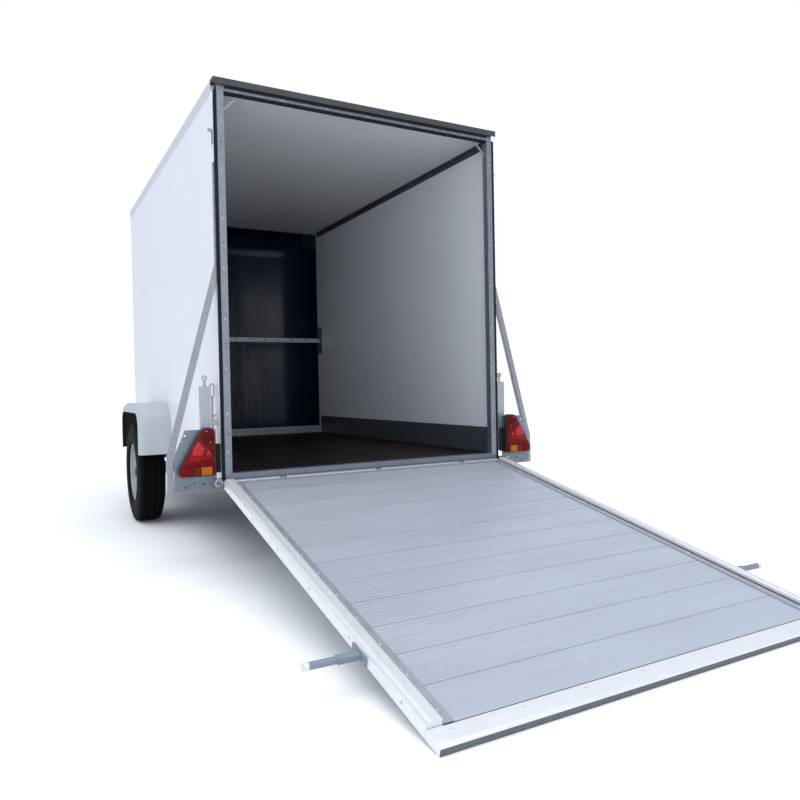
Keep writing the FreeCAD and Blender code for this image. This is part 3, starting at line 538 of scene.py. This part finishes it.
def ramp_span(node):
    """The lowest and highest (s, y, n) of a CAD node of the ramp, in millimetres."""
    back = RAMP.inverted()
    places = [back @ v.co for v in nodes[node].data.vertices]
    return [tuple(up(pick(p[i] * sign for p in places)) for i, sign in enumerate((-1, 1, 1))) for pick in (min, max)]


# ---------------------------------------------------------------- the ramp

DECK_LOW, DECK_HIGH = ramp_span("ramp_deck")
RAIL_LOW, RAIL_HIGH = ramp_span("ramp_rails")
STRIP_LOW, STRIP_HIGH = ramp_span("ramp_end_strip")
LATCH = (1500, -8)
CLOSED_GAP = 1.5        # between the rails' ends and the trim over the opening, with the ramp shut
PLANKS = 12
RIBS = 8
RIB_PITCH = 19.3


def ramp_deck():
    """Twelve extruded planks, with a groove at each seam and low ribs across the way up."""
    (s0, y0, n0), (s1, y1, top) = DECK_LOW, DECK_HIGH
    wide = (s1 - s0) / PLANKS
    outline = [(s0, n0)]
    for i in range(PLANKS):
        start = s0 + i * wide
        outline += [(start, top - 3.5), (start + 1.5, top - 3.5), (start + 1.5, top - 1)]
        first = start + (wide - RIB_PITCH * (RIBS - 1) - 5) / 2
        for j in range(RIBS):
            rib = first + j * RIB_PITCH
            outline += [(rib, top - 1), (rib + 0.8, top), (rib + 4.2, top), (rib + 5, top - 1)]
        outline += [(start + wide - 1.5, top - 1), (start + wide - 1.5, top - 3.5)]
    outline += [(s1, top - 3.5), (s1, n0)]
    deck = Piece("ramp_planks", "ramp", "ribbed_aluminium", on_ramp, ["ramp_deck"])
    deck.prism([(s, y0, n) for s, n in outline], lambda s, y, n: (s, y1, n), "aluminium")
    deck.done(20)


def ramp_rails():
    """Edge rails with a rounded outer shoulder, a grooved top and a riveted inner flange."""
    s0, s1 = RAIL_LOW[0], RAIL_HIGH[0] - CLOSED_GAP
    half, top, bottom = RAIL_HIGH[1], RAIL_HIGH[2], RAIL_LOW[2]
    inner = DECK_HIGH[1]
    deck_top = DECK_HIGH[2]
    shoulder = [(half - 17 + y, top - 15 + n) for y, n in
                [(17 * math.cos(math.radians(a)), 15 * math.sin(math.radians(a))) for a in steps(0, 90, 7)]]
    grooves = []
    for y in (inner + 20, inner + 14, inner + 8):
        grooves += [(y + 1.5, top), (y + 0.8, top - 1), (y - 0.8, top - 1), (y - 1.5, top)]
    section = [(half, bottom), *shoulder, *grooves, (inner + 2, top), (inner, top - 2), (inner, deck_top + 0.2),
               (inner, bottom)]
    for side, name in ((1, "left"), (-1, "right")):
        rail = Piece("ramp_rail_" + name, "ramp", "ribbed_aluminium", on_ramp, ["ramp_rails"])
        rail.prism([(s0, side * y, n) for y, n in section], lambda s, y, n: (s1, y, n), "rail")
        low, high = sorted((side * (inner - 35), side * (inner + 1)))
        rail.block((s0, low, deck_top + 0.1), (s1, high, deck_top + 3), "flange")
        low, high = sorted((side * (inner - 2.2), side * inner))
        rail.block((s0 + 2, low, deck_top + 2.8), (s1 - 2, high, deck_top + 5.5), "rubber")
        rail.rivets([(s, side * (inner - 18), deck_top + 3) for s in steps(s0 + 60, s1 - 50, 12)], (0, 0, 1), "bolt",
                    4.2, 2.2)
        rail.rivets([(s, side * (inner + 33 - 17), top - 0.1) for s in steps(s0 + 90, s1 - 160, 4)], (0, 0, 1), "bolt",
                    4.5, 1.8)
        rail.rods([((s, side * half, 2), (s, side * (half + 0.4), 2)) for s in steps(s0 + 120, s1 - 120, 6)], 5,
                  "flange", 16)
        rail.done()


def ramp_ends():
    """The strip across the free end, with its darker end face and screws, and a light strip at the hinge."""
    (s0, y0, n0), (s1, y1, n1) = STRIP_LOW, STRIP_HIGH
    strip = Piece("ramp_end_cap", "ramp", "ribbed_aluminium", on_ramp, ["ramp_end_strip"])
    section = [(s0, n0), (s0, n1), (s1 - 12, n1), (s1 - 7, n1 - 0.8), (s1 - 2, n1 - 4), (s1 - 1, n1 - 7), (s1 - 1, n0)]
    strip.prism([(s, y0, n) for s, n in section], lambda s, y, n: (s, y1, n), "rail")
    strip.block((s1 - 1.5, y0 + 1, n0 + 0.5), (s1 - 0.1, y1 - 1, n1 - 8), "dark_zinc_and_painted_shade")
    strip.rivets([(s0 + 20, y, n1 - 0.1) for y in steps(y0 + 60, y1 - 60, 8)], (0, 0, 1), "bolt", 4.5, 1.8)
    strip.block((s0 + 0.2, y0 + 47, n1 - 0.2), (s0 + 2.5, y1 - 47, n1 + 0.3), "rubber")
    strip.done()
    s0, y0, top = DECK_LOW[0], DECK_LOW[1], DECK_HIGH[2]
    hinge = Piece("ramp_hinge_strip", "ramp", "ribbed_aluminium", on_ramp)
    hinge.block((s0 + 0.5, y0 + 36, top - 0.2), (s0 + 24, -y0 - 36, top + 1.4), "flange", 0.4)
    hinge.rivets([(s0 + 12, y, top + 1.3) for y in steps(y0 + 90, -y0 - 90, 9)], (0, 0, 1), "bolt", 4.2, 1.8)
    hinge.done()


ramp_deck()
ramp_rails()
ramp_ends()


# ---------------------------------------------------------------- tail lamps

LAMP = [(842, 468), (850, 460), (996, 461), (1008, 469), (1012, 486), (1008, 500), (908, 672), (894, 682),
        (866, 684), (850, 677), (844, 664)]
LAMP_DEEP = 44


def inset(outline, gap):
    """A convex outline, given anticlockwise or clockwise, moved inwards by gap."""
    centre = [sum(p[i] for p in outline) / len(outline) for i in (0, 1)]
    lines = []
    for (ax, ay), (bx, by) in zip(outline, outline[1:] + outline[:1]):
        nx, ny = by - ay, ax - bx
        size = math.hypot(nx, ny)
        nx, ny = nx / size, ny / size
        reach = nx * ax + ny * ay
        if nx * centre[0] + ny * centre[1] > reach:
            nx, ny, reach = -nx, -ny, -reach
        lines.append((nx, ny, reach - gap))
    moved = []
    for (a, b, c), (d, e, f) in zip(lines[-1:] + lines[:-1], lines):
        det = a * e - b * d
        moved.append(((c * e - b * f) / det, (a * f - c * d) / det))
    return moved


def tail_lamps():
    bracket_x = up(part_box("lamp_brackets")[0].x - REAR_X)
    for side, name in ((1, "left"), (-1, "right")):
        body = Piece("tail_lamp_" + name, "trailer", "red_lens", at, ["tail_lamps"])

        def slab(outline, x0, x1, finish, soft=0.0):
            body.prism([(x0, side * y, z) for y, z in outline], lambda x, y, z: (x1, y, z), finish, soft)

        slab(LAMP, 0, -LAMP_DEEP + 6, "plastic", 1.5)
        slab(inset(LAMP, 4), -LAMP_DEEP + 7, -LAMP_DEEP + 1, "red", 1)
        upper = arc((878, 645), 31, 0, 360, 33)[:-1]
        slab(upper, -LAMP_DEEP + 2, -LAMP_DEEP - 1.2, "red", 1.2)
        slab(arc((878, 645), 25, 0, 360, 33)[:-1], -LAMP_DEEP, -LAMP_DEEP - 2.2, "red_dark", 0.8)
        slab([(918, 641), (923, 644), (845, 520), (840, 520)], -LAMP_DEEP + 2, -LAMP_DEEP - 0.2, "plastic")
        slab(inset([(921, 634), (862, 541), (985, 520)], 2), -LAMP_DEEP + 2, -LAMP_DEEP - 2.0, "red_bright", 1.2)
        slab([(952, 562), (908, 556), (893, 588), (922, 622), (946, 592)], -LAMP_DEEP, -LAMP_DEEP - 3.2, "facet", 1)
        slab([(886, 560), (864, 560), (880, 588)], -LAMP_DEEP, -LAMP_DEEP - 3.2, "facet", 1)
        slab([(1003, 506), (1003, 509), (846, 510), (846, 507)], -LAMP_DEEP + 2, -LAMP_DEEP - 0.2, "red_dark")
        for y0, y1, finish in ((948, 1000, "red"), (917, 939, "amber_dark"), (862, 911, "amber"), (847, 857, "red")):
            slab([(y0, 466), (y1, 466), (y1, 503), (y0, 504)], -LAMP_DEEP + 2, -LAMP_DEEP - 1.6, finish, 0.8)
        body.rods([((-LAMP_DEEP + 1, side * y, z), (-LAMP_DEEP - 2.4, side * y, z)) for y, z in ((884, 668), (868, 617))],
                  2.4, "flange", 12)
        body.rivets([(-0.1, side * 972, 648)], (-1, 0, 0), "bolt", 7, 4)
        body.rivets([(-0.1, side * 985, 622)], (-1, 0, 0), "bolt", 3.6, 1.6)
        # Near-black discs on the lamp bracket stand in for its holes: painted shade.
        body.rods([((bracket_x + 0.3, side * y, z), (bracket_x - 0.5, side * y, z))
                   for y, z in ((973, 411), (935, 427), (891, 421))], 4.5, "painted_hole_shade", 14)
        body.block((-8, *sorted((side * 812, side * 842))[:1], 470), (0, *sorted((side * 812, side * 842))[1:], 606),
                   "rubber", 1.5)
        body.done()


tail_lamps()


# ---------------------------------------------------------------- wheels

def tyres():
    half, radius, bead = 85, 325, 190
    groove = []
    for place in (-46, -16, 16, 46):
        groove += [(place - 5, radius - 1), (place - 3.5, radius - 9), (place + 3.5, radius - 9), (place + 5, radius - 1)]
    outline = [(-half + 8, bead), (-half + 2, bead + 14), (-half, bead + 55), (-half + 3, bead + 96),
               (-half + 9, bead + 118), (-half + 15, radius - 6), (-half + 24, radius - 2), *groove,
               (half - 24, radius - 2), (half - 15, radius - 6), (half - 9, bead + 118), (half - 3, bead + 96),
               (half, bead + 55), (half - 2, bead + 14), (half - 8, bead), (0, bead - 2)]
    for side, name in ((1, "left"), (-1, "right")):
        centre = (Vector(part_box("tyre_" + name)[0]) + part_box("tyre_" + name)[1]) / 2
        tyre = Piece("road_tyre_" + name, "wheel_" + name, "tyre_rubber", at, ["tyre_" + name])
        tyre.lathe(outline, centre, "tyre", 96)
        tyre.done(40)


tyres()


# ---------------------------------------------------------------- body trim

def side_trims():
    """Corner and foot strips on the outside walls, with their screws."""
    for side, name in ((1, "left"), (-1, "right")):
        trim = Piece("wall_trim_" + name, "trailer", "white_panel")
        inner, outer = side * OUTSIDE, side * (OUTSIDE + 1.6)
        low, high = sorted((inner, outer))
        trim.block((12, low, 466), (46, high, 2230), "white_edge", 0.5)
        trim.block((BODY_LENGTH - 44, low, 466), (BODY_LENGTH - 6, high, 2230), "white_edge", 0.5)
        trim.block((48, low, 462), (BODY_LENGTH - 46, high, 496), "trim", 0.5)
        out = (0, side, 0)
        trim.rivets([(29, outer, z) for z in steps(520, 2190, 8)], out, "bolt", 3.6, 1.2)
        trim.rivets([(BODY_LENGTH - 25, outer, z) for z in steps(520, 2190, 8)], out, "bolt", 3.6, 1.2)
        trim.rivets([(x, outer, 479) for x in steps(90, BODY_LENGTH - 90, 12)], out, "bolt", 3.6, 1.2)
        trim.done()


def portal_trim():
    """Screws of the rear frame, near-black discs as painted shade in its sockets, its head seal and the board edge over
    it.
    """
    low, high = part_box("rear_portal")
    half = up(high.y)
    post = 33
    inner = half - post
    trim = Piece("portal_trim", "trailer", "galvanised")
    trim.block((10, -inner + 1, HEADER_LOW - 12), (24, inner - 1, HEADER_LOW + 0.5), "rubber", 2)
    trim.block((-1.4, -half + 32, HEADER_LOW + 15), (0.2, half - 32, HEADER_LOW + 24), "ply_edge")
    for side in (1, -1):
        y = side * (half - post / 2)
        heights = (560, 742, 955, 1190, 1430, 1665, 1890, 2120)
        trim.rivets([(0.1, y, z) for z in heights], (-1, 0, 0), "bolt", 4.2, 1.8)
        # Near-black discs stand in for the sockets in the posts: painted shade.
        trim.rods([((0.3, y, z), (-0.4, y, z)) for z in (648, 1075, 1548, 2020)], 3.4, "painted_hole_shade", 14)
    trim.rivets([(0.1, y, HEADER_LOW + 8) for y in steps(-half + 90, half - 90, 7)], (-1, 0, 0), "bolt", 3.8, 1.5)
    trim.done()


def inside_details():
    """Rivets of the kick plates, near-black discs as painted shade in the holes of the crossbar and floor rail, and the
    ceiling angle screws.
    """
    low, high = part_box("kick_plates")
    kick_top, kick_inner = up(high.z), None
    detail = Piece("inside_fixings", "trailer", "galvanised")
    for side in (1, -1):
        face = side * (INSIDE - 2.2)
        out = (0, -side, 0)
        for x in steps(140, BODY_LENGTH - 120, 11):
            detail.rivets([(x, face, kick_top - 18), (x + 60, face, FLOOR + 26)], out, "bolt", 4, 1.6)
        detail.rivets([(x, side * (INSIDE - 14), CEILING - 3.2) for x in steps(120, BODY_LENGTH - 120, 10)],
                      (0, 0, -1), "bolt", 3.6, 1.4)
    bar_low, bar_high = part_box("front_crossbar")
    bar_x = up(bar_low.x - REAR_X)
    bar_z = up((bar_low.z + bar_high.z) / 2)
    # Near-black discs stand in for the holes of the crossbar, and below for those of the floor rail: painted shade.
    detail.rods([((bar_x + 0.2, y, bar_z), (bar_x - 0.5, y, bar_z)) for y in steps(-620, 620, 11)], 7, "painted_hole_shade", 16)
    rail_low, rail_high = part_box("front_floor_rail")
    rail_x = up(rail_low.x - REAR_X)
    rail_z = up((rail_low.z + rail_high.z) / 2)
    detail.rods([((rail_x + 0.2, y, rail_z), (rail_x - 0.5, y, rail_z)) for y in steps(-700, 700, 15)], 6, "painted_hole_shade", 14)
    detail.done()


def hinge_ends():
    """The lynch pin rings that keep the hinge pin, one at each end."""
    for side, name in ((1, "left"), (-1, "right")):
        ring = Piece("hinge_ring_" + name, "trailer", "galvanised")
        ring.lathe([(-4, 10), (-4, 18), (-2, 20), (2, 20), (4, 18), (4, 10)], at(-46, side * 834, 424), "galvanised", 32,
                   (1, 0, 0))
        ring.block((-44, *sorted((side * 824, side * 832))[:1], 414), (-30, *sorted((side * 824, side * 832))[1:], 434),
                   "galvanised", 1)
        ring.done()


def latch_ends():
    """The pale end caps of the latch handles."""
    low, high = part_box("ramp_latches")
    for side, y in (("left", high.y), ("right", low.y)):
        sign = 1 if y > 0 else -1
        cap = Piece("latch_cap_" + side, "ramp", "grey_plastic", on_ramp)
        s, n = LATCH
        cap.rods([((s, up(y) - sign * 16, n), (s, up(y) + sign * 0.5, n))], 12.2, "grip_end", 20)
        cap.done()


def nose_corners():
    """The front panel's upper corners, behind the rounded nose."""
    corner = Piece("nose_corners", "trailer", "navy_moulding")
    for side in (1, -1):
        a, b = sorted((side * (INSIDE - 135), side * (INSIDE - 1)))
        corner.block((BODY_LENGTH - 8, a, CEILING - 130), (BODY_LENGTH - 2, b, CEILING - 1), "navy")
    corner.done()


side_trims()
portal_trim()
inside_details()
hinge_ends()
latch_ends()
nose_corners()


# ---------------------------------------------------------------- stage, light and camera

def plain_stage():
    bm = bmesh.new()
    bmesh.ops.create_grid(bm, x_segments=1, y_segments=1, size=40)
    mesh = bpy.data.meshes.new("floor")
    bm.to_mesh(mesh)
    bm.free()
    floor = bpy.data.objects.new("floor", mesh)
    bpy.context.scene.collection.objects.link(floor)
    f = Finish("floor_white", (1.0, 1.0, 1.0), 0.9)
    floor.data.materials.append(f.material)


def lamp(name, place, target, size, power):
    data = bpy.data.lights.new(name, "AREA")
    data.shape = "RECTANGLE"
    data.size, data.size_y = size
    data.energy = power
    made = bpy.data.objects.new(name, data)
    made.location = place
    made.rotation_mode = "QUATERNION"
    made.rotation_quaternion = (Vector(target) - Vector(place)).to_track_quat("-Z", "Y")
    bpy.context.scene.collection.objects.link(made)


SKY = (0.60, 0.655, 0.75)


def studio():
    world = bpy.data.worlds.new("studio")
    bpy.context.scene.world = world
    world.use_nodes = True
    tree = world.node_tree
    path = tree.nodes.new("ShaderNodeLightPath")
    tint = tree.nodes.new("ShaderNodeMix")
    tint.data_type = "RGBA"
    tint.inputs[6].default_value = (*SKY, 1)
    tint.inputs[7].default_value = (1, 1, 1, 1)
    tree.links.new(path.outputs["Is Camera Ray"], tint.inputs[0])
    tree.links.new(tint.outputs[2], tree.nodes["Background"].inputs["Color"])
    overhead = bpy.data.lights.new("overhead", "SUN")
    overhead.energy = 1.65
    overhead.angle = math.radians(70)
    made = bpy.data.objects.new("overhead", overhead)
    made.rotation_euler = (math.radians(-6), math.radians(-8), 0)
    bpy.context.scene.collection.objects.link(made)
    lamp("rear_lamp", (REAR_X - 6.0, 1.5, 3.0), (REAR_X, 0, 1.0), (4, 3), 60)


def camera():
    yaw, pitch, roll = (math.radians(a) for a in (-28.776, -1.031, -1.134))
    forward = Vector((math.cos(pitch) * math.cos(yaw), math.cos(pitch) * math.sin(yaw), math.sin(pitch)))
    side = Vector((math.sin(yaw), -math.cos(yaw), 0))
    up = side.cross(forward)
    right = side * math.cos(roll) + up * math.sin(roll)
    top = up * math.cos(roll) - side * math.sin(roll)
    data = bpy.data.cameras.new("camera")
    data.sensor_width = 36
    data.lens = 31.217
    made = bpy.data.objects.new("camera", data)
    place = Vector((REAR_X - 3.2641, 1.6353, 0.8514))
    columns = Matrix((right, top, -forward)).transposed()
    made.matrix_world = Matrix.Translation(place) @ columns.to_4x4()
    bpy.context.scene.collection.objects.link(made)
    bpy.context.scene.camera = made


plain_stage()
studio()
camera()
bpy.context.scene.view_settings.view_transform = "Standard"
